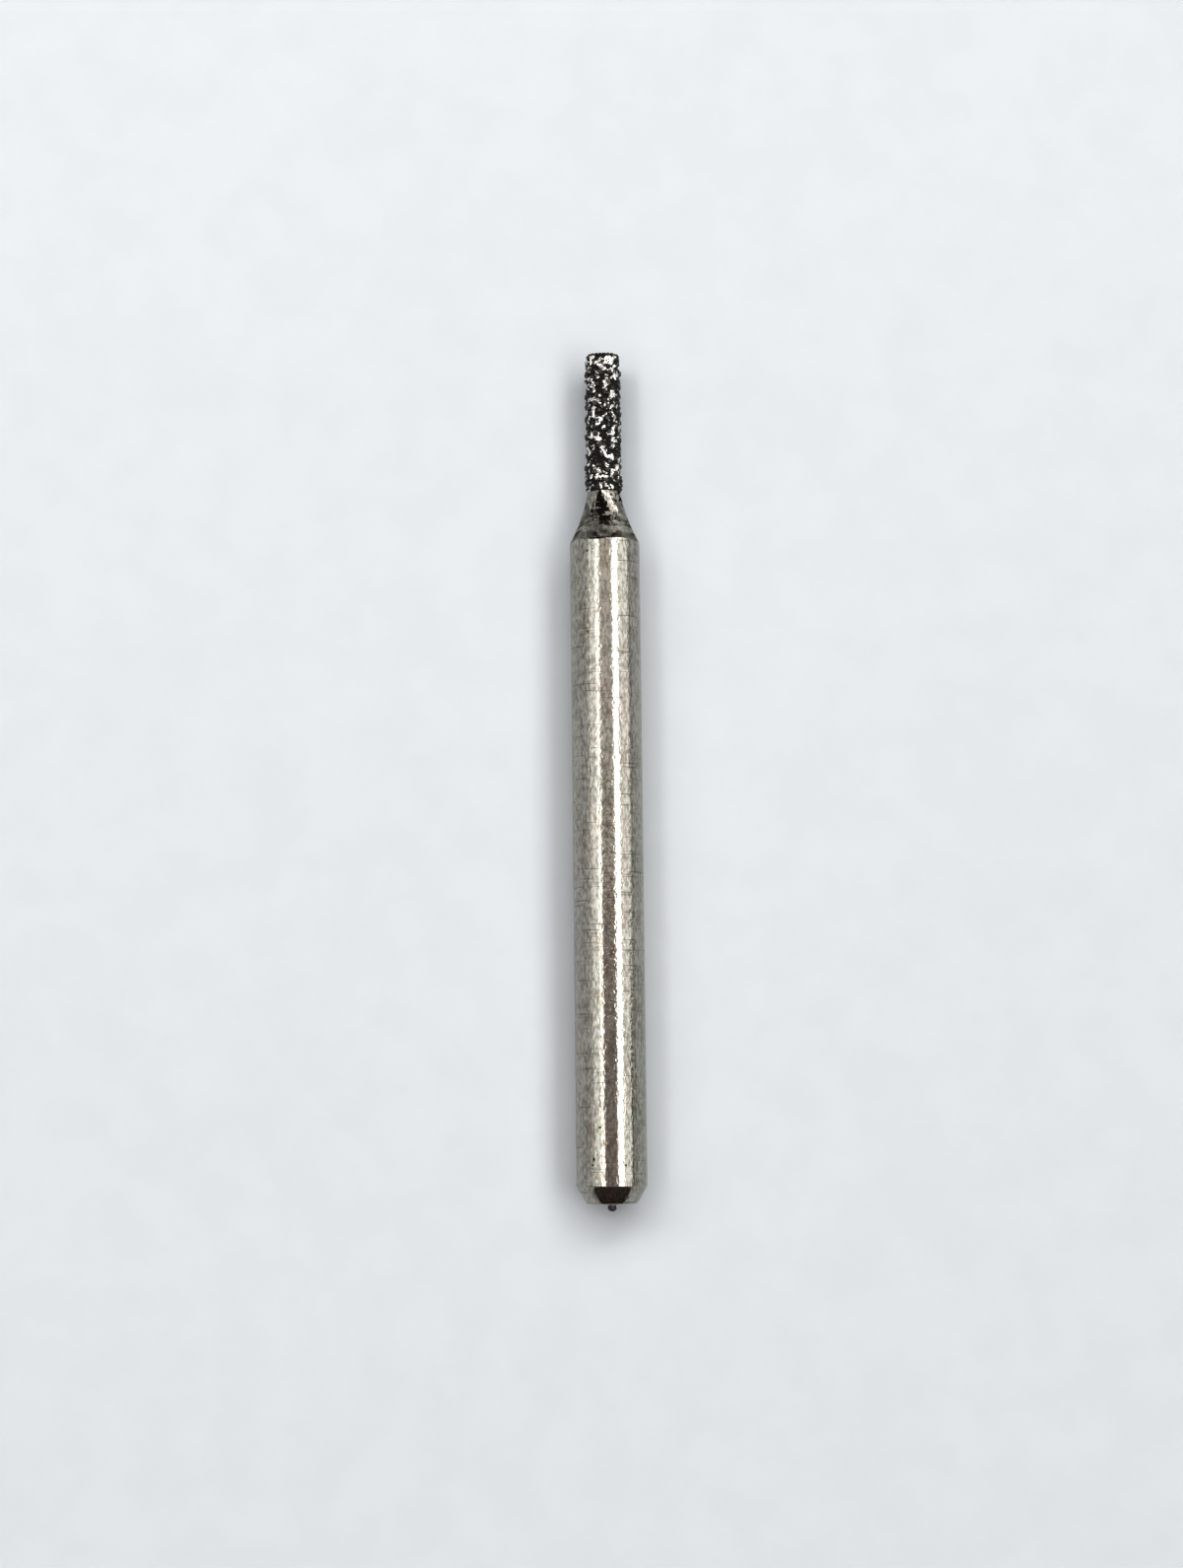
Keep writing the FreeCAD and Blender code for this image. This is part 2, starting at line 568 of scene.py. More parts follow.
@dataclass(frozen=True)
class GroundStainlessSteel:
    """Centreless-ground stainless steel, used and a little stained.

    Its fine short scratches fray the edges of each reflection and mottle the middle tones. Handling
    leaves small dark specks, and the neck is dented and dirty. The neck also has painted shade low on
    its foot and in a ring, and the sheared nib is painted dark purple as shade. The real scratches and
    pits are too fine to show, so they are drawn as coarse as it takes for their mottle.
    """

    name: str = "centreless_ground_stainless_steel"
    clean: str = "#b5b3ab"
    dulled: str = "#82827a"
    tinted: str = "#877e75"
    # Real stains, specks and chuck marks, and also the painted shade on the neck's foot and ring
    stain_and_shade: str = "#352e28"
    clean_edge: str = "#ffffff"
    # Painted shade: a dark purple laid on the nib for the shade that it lies in
    nib_painted_shade: str = "#5a5260"
    patch_mm: Triple = (0.30, 0.80, 0.30)
    grain_mm: Triple = (0.055, 0.14, 0.055)
    grain_share: float = 0.8
    tone_levels: Span = (0.33, 0.71)
    cast_mm: Triple = (0.25, 1.1, 0.25)
    cast_levels: Span = (0.42, 0.60)
    speck_mm: float = 0.16
    speck_levels: Span = (0.76, 0.80)
    chuck_mark_mm: Triple = (0.9, 0.04, 0.9)
    chuck_mark_levels: Span = (0.64, 0.74)
    chuck_mark_share: float = 0.45
    scuff_mm: Triple = (0.20, 0.095, 0.20)
    scuff_levels: Span = (0.54, 0.60)
    roughness: Span = (0.06, 0.20)
    nib_rougher: float = 0.4
    neck_rougher: float = -0.04
    scuffs_rougher: float = 0.40
    worn_rougher: float = 0.22
    residue_rougher: float = 0.3
    wave_mm: Triple = (0.30, 1.4, 0.30)
    wave_depth_mm: float = 0.0010
    scratch_mm: Triple = (0.05, 0.11, 0.05)
    scratch_depth_mm: float = 0.0018
    pit_mm: Triple = (0.07, 0.12, 0.07)
    pit_levels: Span = (0.74, 0.44)
    pit_depth_mm: float = 0.0017
    dent_mm: Triple = (0.26, 0.30, 0.26)
    dent_depth_mm: float = 0.007
    neck_start_mm: Span = (0.18, 0.40)
    neck_smooth_mm: Span = (0.0, 0.05)
    neck_relief: float = 0.25
    nib_fade_mm: float = 0.02
    neck_dirt_and_shade: NeckDirtAndShade = NeckDirtAndShade()

    def make(self, neck_from: float, nib_root: float) -> bpy.types.Material:
        """Makes the material.

        Args:
            neck_from: Where the neck starts along the axis, in millimetres.
            nib_root: Where the nib leaves the rear face, in millimetres.

        Returns:
            The material.
        """
        material, tree = new_material(self.name)
        place = place_in_mm(tree)
        along = add_node(tree, "SeparateXYZ", None, (place,)).outputs[1]
        ahead = add_node(tree, "Math", {"operation": "SUBTRACT"}, (along, neck_from)).outputs[0]
        on_neck = zone(tree, (ahead, self.neck_start_mm))
        on_nib = zone(tree, (along, (nib_root, nib_root - self.nib_fade_mm)))
        dents = noise(tree, place, self.dent_mm, detail=1.0)
        scuffs = noise(tree, place, self.scuff_mm)
        scuffs = zone(tree, (scuffs, self.scuff_levels), whole=on_neck)
        worn, residue, dirt_and_shade = self.neck_dirt_and_shade.lay(tree, place, ahead, on_neck, dents, scuffs)

        colour, tone = self.handled(tree, place)
        # Painted shade: the nib's dark purple, and the foot and ring parts of the neck's dark mask
        colour = layered(tree, colour, (dirt_and_shade, self.stain_and_shade), (on_nib, self.nib_painted_shade))
        # Dirt and painted shade stay dark at a grazing view, where clean metal turns white
        edge = layered(tree, self.clean_edge, (dirt_and_shade, self.stain_and_shade))

        rough = add_node(tree, "MapRange", None, (tone, 0.0, 1.0, *self.roughness)).outputs[0]
        marks = (
            (on_nib, self.nib_rougher),
            (on_neck, self.neck_rougher),
            (scuffs, self.scuffs_rougher),
            (worn, self.worn_rougher),
            (residue, self.residue_rougher),
        )
        for mark, rise in marks:
            inputs = (mark, rise, rough)
            rough = add_node(tree, "Math", {"operation": "MULTIPLY_ADD"}, inputs).outputs[0]

        # The neck is turned and not ground, so it shows the shank's fine relief only faintly
        inputs = (ahead, *self.neck_smooth_mm, 1.0, self.neck_relief)
        ground = add_node(tree, "MapRange", SMOOTH, inputs).outputs[0]
        scratches = noise(tree, place, self.scratch_mm)
        pits = noise(tree, place, self.pit_mm, detail=1.0)
        pits = zone(tree, (pits, self.pit_levels))
        reliefs = [(noise(tree, place, self.wave_mm, detail=1.0), self.wave_depth_mm)]
        local_reliefs = (
            (ground, scratches, self.scratch_depth_mm),
            (ground, pits, self.pit_depth_mm),
            (on_neck, dents, self.dent_depth_mm),
        )
        for where, height, depth_mm in local_reliefs:
            inputs = (where, height)
            height = add_node(tree, "Math", {"operation": "MULTIPLY"}, inputs).outputs[0]
            reliefs.append((height, depth_mm))

        inputs = {
            "Base Color": colour,
            "Metallic": 1.0,
            "Specular Tint": edge,
            "Roughness": rough,
            "Normal": relief(tree, *reliefs),
        }
        add_shader(tree, inputs)
        return material

    def handled(self, tree: bpy.types.NodeTree, place: Socket) -> tuple[Socket, Socket]:
        """Mixes the colour that grinding and handling give the steel.

        Args:
            tree: The material's tree.
            place: The place in millimetres.

        Returns:
            The colour, and the tone from zero to one that it follows.
        """
        patches = noise(tree, place, self.patch_mm, detail=4.0)
        inputs = {0: self.grain_share, 2: patches, 3: noise(tree, place, self.grain_mm)}
        tone = add_node(tree, "Mix", None, inputs).outputs[0]
        cast = noise(tree, place, self.cast_mm)
        specks = noise(tree, place, (self.speck_mm,) * 3, detail=1.0)
        chuck_marks = noise(tree, place, self.chuck_mark_mm, detail=1.0)
        chuck_marks = zone(tree, (chuck_marks, self.chuck_mark_levels), whole=self.chuck_mark_share)
        dulled = layered(tree, self.dulled, (zone(tree, (cast, self.cast_levels)), self.tinted))
        colour = layered(
            tree,
            self.clean,
            (zone(tree, (tone, self.tone_levels)), dulled),
            (zone(tree, (specks, self.speck_levels)), self.stain_and_shade),
            (chuck_marks, self.stain_and_shade),
        )
        return colour, tone


@dataclass(frozen=True)
class ElectroplatedNickel:
    """Nickel grown round the grit in a plating bath.

    Its rounded nodules are bright and faintly yellow where they stand clear. Elsewhere a brown-black
    colour, in patches from a noise, stands for debris and painted shade between the crystals, so the
    bright metal shows as a broken network.
    """

    name: str = "electroplated_nickel"
    bright: str = "#e5e3dd"
    # Debris and painted shade: the brown-black between the crystals
    debris_and_shade: str = "#211f1d"
    roughness: float = 0.18
    debris_and_shade_roughness: float = 0.5
    debris_and_shade_metallic: float = 0.3
    debris_and_shade_specular: float = 0.3
    nodule_mm: float = 0.06
    nodule_depth_mm: float = 0.006
    debris_and_shade_mm: float = 0.15
    packed_levels: Span = (0.52, 0.58)
    rim_length_mm: Span = (0.07, 0.02)
    rim_radius_mm: Span = (0.24, 0.30)
    burnished_at: Triple = (0.14, -0.15, 0.34)
    burnished_mm: float = 0.12
    burnished_core: float = 0.7

    def make(self, tip_y: float) -> bpy.types.Material:
        """Makes the material.

        Args:
            tip_y: Where the head ends along the axis, in millimetres.

        Returns:
            The material.
        """
        material, tree = new_material(self.name)
        place = place_in_mm(tree)
        along = add_node(tree, "SeparateXYZ", None, (place,)).outputs[1]
        nodules = noise(tree, place, (self.nodule_mm,) * 3, detail=1.0)
        # Painted shade and debris: brown-black patches from a noise cover the nickel where it isn't
        # clear
        clear = zone(tree, (noise(tree, place, (self.debris_and_shade_mm,) * 3), self.packed_levels))

        # The brown-black colour covers the rim of the tip, apart from one burnished spot
        inputs = (place, (1.0, 0.0, 1.0))
        across = add_node(tree, "VectorMath", {"operation": "MULTIPLY"}, inputs).outputs[0]
        from_axis = add_node(tree, "VectorMath", {"operation": "LENGTH"}, (across,)).outputs["Value"]
        rim_from, rim_full = (tip_y - reach for reach in self.rim_length_mm)
        rim = zone(tree, (along, (rim_from, rim_full)), (from_axis, self.rim_radius_mm))
        off_rim = add_node(tree, "Math", {"operation": "SUBTRACT"}, (1.0, rim)).outputs[0]
        clear = add_node(tree, "Math", {"operation": "MULTIPLY"}, (clear, off_rim)).outputs[0]
        inputs = (place, Vector(self.burnished_at) + Vector((0, tip_y, 0)))
        apart = add_node(tree, "VectorMath", {"operation": "DISTANCE"}, inputs).outputs["Value"]
        spot = zone(tree, (apart, (self.burnished_mm, self.burnished_mm * self.burnished_core)))
        clear = add_node(tree, "Math", {"operation": "MAXIMUM"}, (clear, spot)).outputs[0]

        levels = (self.debris_and_shade_metallic, 1.0)
        metallic = add_node(tree, "MapRange", None, (clear, 0.0, 1.0, *levels)).outputs[0]
        levels = (self.debris_and_shade_roughness, self.roughness)
        rough = add_node(tree, "MapRange", None, (clear, 0.0, 1.0, *levels)).outputs[0]
        inputs = {
            "Base Color": layered(tree, self.debris_and_shade, (clear, self.bright)),
            "Metallic": metallic,
            "Specular IOR Level": self.debris_and_shade_specular,
            "Roughness": rough,
            "Normal": relief(tree, (nodules, self.nodule_depth_mm)),
        }
        add_shader(tree, inputs)
        return material


@dataclass(frozen=True)
class BlockyDiamond:
    """Blocky synthetic diamond: near black, with a small glint on a facet and a brown cast in some."""

    name: str = "blocky_synthetic_diamond"
    dark: str = "#0d0c0c"
    brown: str = "#3a2e24"
    roughness: float = 0.24
    grimed_roughness: float = 0.54
    grime_mm: float = 0.03
    ior: float = 2.42
    specular: float = 0.2

    def make(self) -> bpy.types.Material:
        """Makes the material.

        Returns:
            The material.
        """
        material, tree = new_material(self.name)
        place = place_in_mm(tree)
        tone = add_node(tree, "Attribute", {"attribute_name": "grain_tone"}).outputs["Fac"]
        grime = noise(tree, place, (self.grime_mm,) * 3)
        levels = (self.roughness, self.grimed_roughness)
        rough = add_node(tree, "MapRange", None, (grime, 0.0, 1.0, *levels)).outputs[0]
        inputs = {
            "Base Color": layered(tree, self.dark, (tone, self.brown)),
            "IOR": self.ior,
            "Specular IOR Level": self.specular,
            "Roughness": rough,
        }
        add_shader(tree, inputs)
        return material


@dataclass(frozen=True)
class MattSheet:
    """A matt white sheet with a cold cast, and a faint mottle that is too soft to show a pattern."""

    name: str = "matt_white_sheet"
    light: str = "#c8cbcd"
    shade: str = "#c6c9cb"
    mottle_mm: float = 1.2
    mottle_levels: Span = (0.3, 0.7)
    roughness: float = 0.75
    specular: float = 0.2

    def make(self) -> bpy.types.Material:
        """Makes the material.

        Returns:
            The material.
        """
        material, tree = new_material(self.name)
        mottle = noise(tree, place_in_mm(tree), (self.mottle_mm,) * 3, detail=3.0)
        shaded = zone(tree, (mottle, self.mottle_levels))
        inputs = {
            "Base Color": layered(tree, self.light, (shaded, self.shade)),
            "Specular IOR Level": self.specular,
            "Roughness": self.roughness,
        }
        add_shader(tree, inputs)
        return material


# The bur


@dataclass(frozen=True)
class Neck:
    """The blank's waist: an arc from the shoulder that ends tangent to the slim core."""

    shoulder_r: float
    shoulder_y: float = 15.05
    core_r: float = 0.29
    arc_r: float = 4.10

    def end_y(self) -> float:
        """Gives where the arc meets the core, in millimetres along the axis."""
        drop = self.shoulder_r - self.core_r
        return self.shoulder_y + math.sqrt(self.arc_r ** 2 - (self.arc_r - drop) ** 2)

    def radius(self, along: float) -> float:
        """Gives the steel's radius ahead of the shoulder at a distance along the axis, both in mm."""
        from_end = max(self.end_y() - along, 0.0)
        return self.core_r + self.arc_r - math.sqrt(self.arc_r ** 2 - from_end ** 2)

    def arc(self, start_y: float, stop_y: float, count: int) -> list[Corner]:
        """Lists points of the waist in even steps between two distances along the axis."""
        alongs = [start_y + (stop_y - start_y) * i / count for i in range(count + 1)]
        return [(self.radius(y), y) for y in alongs]


@dataclass(frozen=True)
class TurnedBlank:
    """The one-piece steel blank: nib, rear chamfer, shank, shoulder, neck and core."""

    neck: Neck
    nib_end_y: float
    tip_y: float
    nib_r: float = 0.10
    nib_root: float = 0.03
    nib_end_break: float = 0.06
    rear_chamfer_length: float = 0.40
    rear_chamfer_depth: float = 0.24
    rear_chamfer_bow: float = 0.008
    edge_break: float = 0.025
    core_end_break: float = 0.03
    edge_round: float = 0.012
    edge_rows: int = 3
    edge_least_deg: float = 12.0
    nib_lump: float = 0.09
    nib_lump_height: float = 0.05
    nib_lump_middle: float = 0.7
    steps: int = 144
    chamfer_rows: int = 8
    neck_rows: int = 56

    def profile(self) -> list[Corner]:
        """Lists the turned profile from the nib's end to the blank's tip.

        Returns:
            Corners as radius and distance along the axis, in millimetres.
        """
        shank_r = self.neck.shoulder_r
        shoulder_y = self.neck.shoulder_y
        rear = [
            (0.0, self.nib_end_y),
            (self.nib_r - self.nib_end_break, self.nib_end_y),
            (self.nib_r, self.nib_end_y + self.nib_end_break),
            (self.nib_r, -self.nib_root),
            (self.nib_r + self.nib_root, 0.0),
        ]
        chamfer_start = (shank_r - self.rear_chamfer_depth, 0.0)
        chamfer_end = (shank_r, self.rear_chamfer_length)
        rear += bowed(chamfer_start, chamfer_end, self.rear_chamfer_bow, self.chamfer_rows)
        rear.append((shank_r, shoulder_y - self.edge_break))
        waist = self.neck.arc(shoulder_y + self.edge_break, self.neck.end_y(), self.neck_rows)
        core_r = self.neck.core_r
        core = [
            (core_r, self.tip_y - self.core_end_break),
            (core_r - self.core_end_break, self.tip_y),
            (0.0, self.tip_y),
        ]
        return rear + waist + core

    def make(self, steel: bpy.types.Material) -> bpy.types.Object:
        """Models the blank and dresses it.

        Args:
            steel: Its finish.

        Returns:
            The finished piece.
        """
        piece = turned("dressed_blank", self.profile(), self.steps)
        add_modifier(
            piece,
            "BEVEL",
            width=self.edge_round,
            segments=self.edge_rows,
            limit_method="ANGLE",
            angle_limit=math.radians(self.edge_least_deg),
        )
        apply_modifiers(piece)
        nib = [v.index for v in piece.data.vertices if v.co.y < -self.nib_root]
        ragged = add_group(piece, "nib", nib)
        add_modifier(
            piece,
            "DISPLACE",
            texture=nodule_texture("CLOUDS", self.nib_lump),
            vertex_group=ragged,
            strength=self.nib_lump_height,
            mid_level=self.nib_lump_middle,
        )
        apply_modifiers(piece)
        pick(piece)
        bpy.ops.object.shade_smooth()
        # Long faces beside a rounded edge keep their own direction, so reflections on them stay straight
        add_modifier(piece, "WEIGHTED_NORMAL", mode="FACE_AREA", weight=100, keep_sharp=False)
        apply_modifiers(piece)
        to_metres(piece)
        hand_over(piece, Slot.STEEL, steel, "turned_blank")
        return piece


def grain_islands(mesh: bpy.types.Mesh) -> list[list[int]]:
    """Sorts a mesh's vertices by the loose part that they belong to.

    Args:
        mesh: A mesh of many separate crystals.

    Returns:
        A list of vertex indices for each crystal.
    """
    shape = bmesh.new()
    shape.from_mesh(mesh)
    shape.verts.ensure_lookup_table()
    seen: set[int] = set()
    islands = []
    for vertex in shape.verts:
        if vertex.index in seen:
            continue
        island = []
        waiting = [vertex]
        seen.add(vertex.index)
        while waiting:
            current = waiting.pop()
            island.append(current.index)
            for edge in current.link_edges:
                other = edge.other_vert(current)
                if other.index not in seen:
                    seen.add(other.index)
                    waiting.append(other)
        islands.append(island)
    shape.free()
    return islands


def tone_grains(mesh: bpy.types.Mesh, rng: random.Random) -> None:
    """Gives each crystal a tone of its own, for its finish to read.

    Args:
        mesh: A mesh of many separate crystals.
        rng: The source of the tones.
    """
    tones = mesh.attributes.new("grain_tone", "FLOAT", "POINT")
    for island in grain_islands(mesh):
        # The square leaves most of them dark
        tone = rng.random() ** 2
        for index in island:
            tones.data[index].value = tone


@dataclass(frozen=True)
class DiamondGrit:
    """The sieved crystals that the solids hold, with their worn edges."""

    seed: int = 21
    edge_wear: float = 0.004
    merge: float = 0.0005
    flat_deg: float = 2.0

    def make(self) -> bpy.types.Object:
        """Takes the crystals over from the solids and dulls their edges.

        Returns:
            The crystals, still in millimetres, so that the bond can be grown to them.
        """
        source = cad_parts["diamond_grit"]
        deselect_all()
        piece = bpy.data.objects.new("dressed_grit", source.data.copy())
        bpy.context.scene.collection.objects.link(piece)
        piece.data.transform(Matrix.Scale(1 / METRES_PER_MM, 4))
        pick(piece)
        edit_all()
        bpy.ops.mesh.remove_doubles(threshold=self.merge)
        bpy.ops.mesh.dissolve_limited(angle_limit=math.radians(self.flat_deg))
        bpy.ops.mesh.select_all(action="SELECT")
        bpy.ops.mesh.bevel(offset=self.edge_wear, segments=1, affect="EDGES")
        leave_edit()
        bpy.ops.object.shade_flat()
        tone_grains(piece.data, random.Random(self.seed))
        return piece

    def dress(self, piece: bpy.types.Object, diamond: bpy.types.Material) -> None:
        """Brings the crystals to metres, once the bond has grown to them, and dresses them."""
        to_metres(piece)
        hand_over(piece, Slot.DIAMOND, diamond, "diamond_grit")


@dataclass(frozen=True)
class GritFines:
    """The broken small crystals that fill in between the sieved ones."""

    surface_r: float
    from_y: float
    to_y: float
    seed: int = 9
    kinds: int = 6
    rim_count: int = 18
    side_count: int = 240
    tries: int = 20000
    size_range: Span = (0.034, 0.072)
    stand_out: float = 0.20
    rim_inset: float = 0.018
    width_range: Span = (0.65, 0.9)
    height_range: Span = (0.6, 0.9)
    cuts: int = 5
    cut_range: Span = (0.45, 0.7)
    merge: float = 0.02
    clear: float = 0.50
    apart: float = 0.8

    def chip(self, rng: random.Random) -> bpy.types.Mesh:
        """Models one small crystal: a ball that is flattened and cleaved on a few planes.

        Args:
            rng: The source of its planes.

        Returns:
            A mesh of unit half width with a few dozen faces.
        """
        deselect_all()
        bpy.ops.mesh.primitive_ico_sphere_add(subdivisions=1, radius=1.0, location=(0, 0, 0))
        ball = bpy.context.object
        edit_all()
        shares = (1.0, rng.uniform(*self.width_range), rng.uniform(*self.height_range))
        bpy.ops.transform.resize(value=shares)
        for _ in range(self.cuts):
            way = Vector((rng.gauss(0, 1), rng.gauss(0, 1), rng.gauss(0, 1))).normalized()
            bpy.ops.mesh.select_all(action="SELECT")
            bpy.ops.mesh.bisect(
                plane_co=way * rng.uniform(*self.cut_range),
                plane_no=way,
                use_fill=True,
                clear_outer=True,
            )
        bpy.ops.mesh.select_all(action="SELECT")
        bpy.ops.mesh.remove_doubles(threshold=self.merge)
        bpy.ops.mesh.normals_make_consistent(inside=False)
        leave_edit()
        mesh = ball.data.copy()
        bpy.data.objects.remove(ball)
        return mesh

    def seat(self, rng: random.Random, size: float, at_rim: bool) -> Vector:
        """Chooses a seat for a small crystal.

        Args:
            rng: The source of its place.
            size: Its half width, in millimetres.
            at_rim: Whether it sits on the edge of the tip rather than on the side.

        Returns:
            Its middle, in millimetres.
        """
        turn = rng.uniform(0, 2 * math.pi)
        along = self.to_y - self.rim_inset
        from_axis = self.surface_r - self.rim_inset
        if not at_rim:
            along = rng.uniform(self.from_y + size, self.to_y - size)
            from_axis = self.surface_r + size * self.stand_out
        return Vector((math.cos(turn) * from_axis, along, math.sin(turn) * from_axis))

    def make(self, grit: bpy.types.Object) -> bpy.types.Object:
        """Scatters the fines between the sieved crystals.

        Args:
            grit: The sieved crystals, in millimetres.

        Returns:
            The fines, still in millimetres.
        """
        rng = random.Random(self.seed)
        chips = [self.chip(rng) for _ in range(self.kinds)]
        depsgraph = bpy.context.evaluated_depsgraph_get()
        crystals = BVHTree.FromObject(grit, depsgraph)
        placed: list[bpy.types.Object] = []
        taken: list[tuple[Vector, float]] = []
        # The rim fills first, then the side
        zones = [True] * self.tries + [False] * self.tries
        for at_rim in zones:
            if len(placed) >= self.rim_count + (0 if at_rim else self.side_count):
                continue
            size = rng.uniform(*self.size_range)
            seat = self.seat(rng, size, at_rim)
            if crystals.find_nearest(seat)[3] < size * self.clear:
                continue
            if any((seat - other).length < (size + reach) * self.apart for other, reach in taken):
                continue
            taken.append((seat, size))
            pose = Euler([rng.uniform(0, 2 * math.pi) for _ in range(3)]).to_matrix().to_4x4()
            chip = bpy.data.objects.new("chip", rng.choice(chips).copy())
            chip.data.transform(Matrix.Translation(seat) @ pose @ Matrix.Scale(size, 4))
            bpy.context.scene.collection.objects.link(chip)
            placed.append(chip)
        deselect_all()
        for chip in placed:
            chip.select_set(True)
        piece = placed[0]
        bpy.context.view_layer.objects.active = piece
        bpy.ops.object.join()
        piece.name = "grit_fines"
        piece.data.name = "grit_fines"
        for mesh in chips:
            bpy.data.meshes.remove(mesh)
        bpy.ops.object.shade_flat()
        tone_grains(piece.data, rng)
        return piece

    def dress(self, piece: bpy.types.Object, diamond: bpy.types.Material) -> None:
        """Brings the fines to metres, once the bond has grown to them, and dresses them."""
        to_metres(piece)
        hand_over(piece, Slot.DIAMOND, diamond)


@dataclass(frozen=True)
class NickelBond:
    """The plated sleeve that holds the grit: it climbs up each crystal and is nodular between them."""

    neck: Neck
    rear_y: float
    tip_y: float
    blank_tip_y: float
    thickness: float = 0.070
    end_break: float = 0.03
    run_out: float = 0.45
    lip: float = 0.022
    core_end_break: float = 0.03
    pitch: float = 0.0145
    steps: int = 176
    collar_reach: float = 0.045
    collar_height: float = 0.030
    nodule_size: float = 0.055
    nodule_height: float = 0.016
    nodule_middle: float = 0.35
    seat_rows: int = 8
    seat_slack: float = 0.001

    def outer_r(self) -> float:
        """Gives the coat's plain outer radius, in millimetres."""
        return self.neck.core_r + self.thickness

    def make(
        self,
        crystals: Sequence[bpy.types.Object],
        nickel: bpy.types.Material,
    ) -> bpy.types.Object:
        """Models the bond and dresses it.

        Args:
            crystals: The grit that it grows to, in millimetres.
            nickel: Its finish.

        Returns:
            The finished piece.
        """
        outer_r = self.outer_r()
        core_r = self.neck.core_r
        outside = divided(
            [
                (self.neck.radius(self.rear_y) + self.lip, self.rear_y),
                (outer_r, self.rear_y + self.run_out),
                (outer_r, self.tip_y - self.end_break),
                (outer_r - self.end_break, self.tip_y),
                (0.0, self.tip_y),
            ],
            self.pitch,
        )
        seat = [
            (0.0, self.blank_tip_y),
            (core_r - self.core_end_break, self.blank_tip_y),
            (core_r, self.blank_tip_y - self.core_end_break),
        ]
        seat += self.neck.arc(self.neck.end_y(), self.rear_y, self.seat_rows)
        piece = turned("dressed_bond", outside + seat + outside[:1], self.steps)
        free = [v.index for v in piece.data.vertices if self.is_free(v.co)]
        outer_group = add_group(piece, "outside", free)
        add_modifier(
            piece,
            "DISPLACE",
            texture=nodule_texture("VORONOI", self.nodule_size),
            vertex_group=outer_group,
            strength=-self.nodule_height,
            mid_level=self.nodule_middle,
        )
        apply_modifiers(piece)
        for crystal in crystals:
            collar = add_group(piece, f"collar_{crystal.name}", free)
            add_modifier(
                piece,
                "VERTEX_WEIGHT_PROXIMITY",
                vertex_group=collar,
                target=crystal,
                proximity_mode="GEOMETRY",
                proximity_geometry={"FACE"},
                min_dist=self.collar_reach,
                max_dist=0.0,
                falloff_type="SHARP",
            )
            add_modifier(
                piece,
                "DISPLACE",
                vertex_group=collar,
                strength=self.collar_height,
                mid_level=0.0,
            )
            apply_modifiers(piece)
        pick(piece)
        bpy.ops.object.shade_smooth()
        to_metres(piece)
        hand_over(piece, Slot.NICKEL, nickel, "nickel_bond")
        return piece

    def is_free(self, point: Vector) -> bool:
        """Whether a point of the sleeve lies on its outside rather than on its seat.

        Args:
            point: The point in millimetres.

        Returns:
            True on the outside.
        """
        from_axis = math.hypot(point.x, point.z)
        middle_r = self.neck.radius(point.y) + self.thickness / 2
        if point.y > (self.tip_y + self.blank_tip_y) / 2:
            return True
        return from_axis > middle_r and point.y > self.rear_y + self.seat_slack


# The stage


@dataclass(frozen=True)
class Floor:
    """The plain pale sheet that the bur lies on."""

    level_mm: float
    size_mm: float = 6000.0

    def make(self, sheet: bpy.types.Material) -> bpy.types.Object:
        """Lays the floor.

        Args:
            sheet: Its finish.

        Returns:
            The floor.
        """
        deselect_all()
        size = self.size_mm * METRES_PER_MM
        bpy.ops.mesh.primitive_plane_add(size=size, location=(0, 0, 0))
        floor = bpy.context.object
        floor.name = "floor"
        floor.data.transform(Matrix.Translation((0, 0, self.level_mm * METRES_PER_MM)))
        floor.data.materials.append(sheet)
        return floor


def area_lamp(
    name: str,
    size: tuple[float, float],
    radiance: float,
    colour: str = "#ffffff",
) -> bpy.types.Object:
    """Makes a rectangular lamp that the camera doesn't see.

    Args:
        name: The lamp's name.
        size: The lengths of its sides, in metres.
        radiance: How bright its face is.
        colour: The light's colour.

    Returns:
        The lamp, which shines down from the origin.
    """
    lamp = bpy.data.lights.new(name, "AREA")
    lamp.shape = "RECTANGLE"
    lamp.size, lamp.size_y = size
    lamp.energy = radiance * math.pi * lamp.size * lamp.size_y
    lamp.color = linear(colour)[:3]
    light = bpy.data.objects.new(name, lamp)
    light.visible_camera = False
    bpy.context.scene.collection.objects.link(light)
    return light


class Side(Enum):
    """The sides of the light box that hold panels."""

    TOP = "top"
    LEFT = "left"
    RIGHT = "right"
    FRONT = "front"
    REAR = "rear"


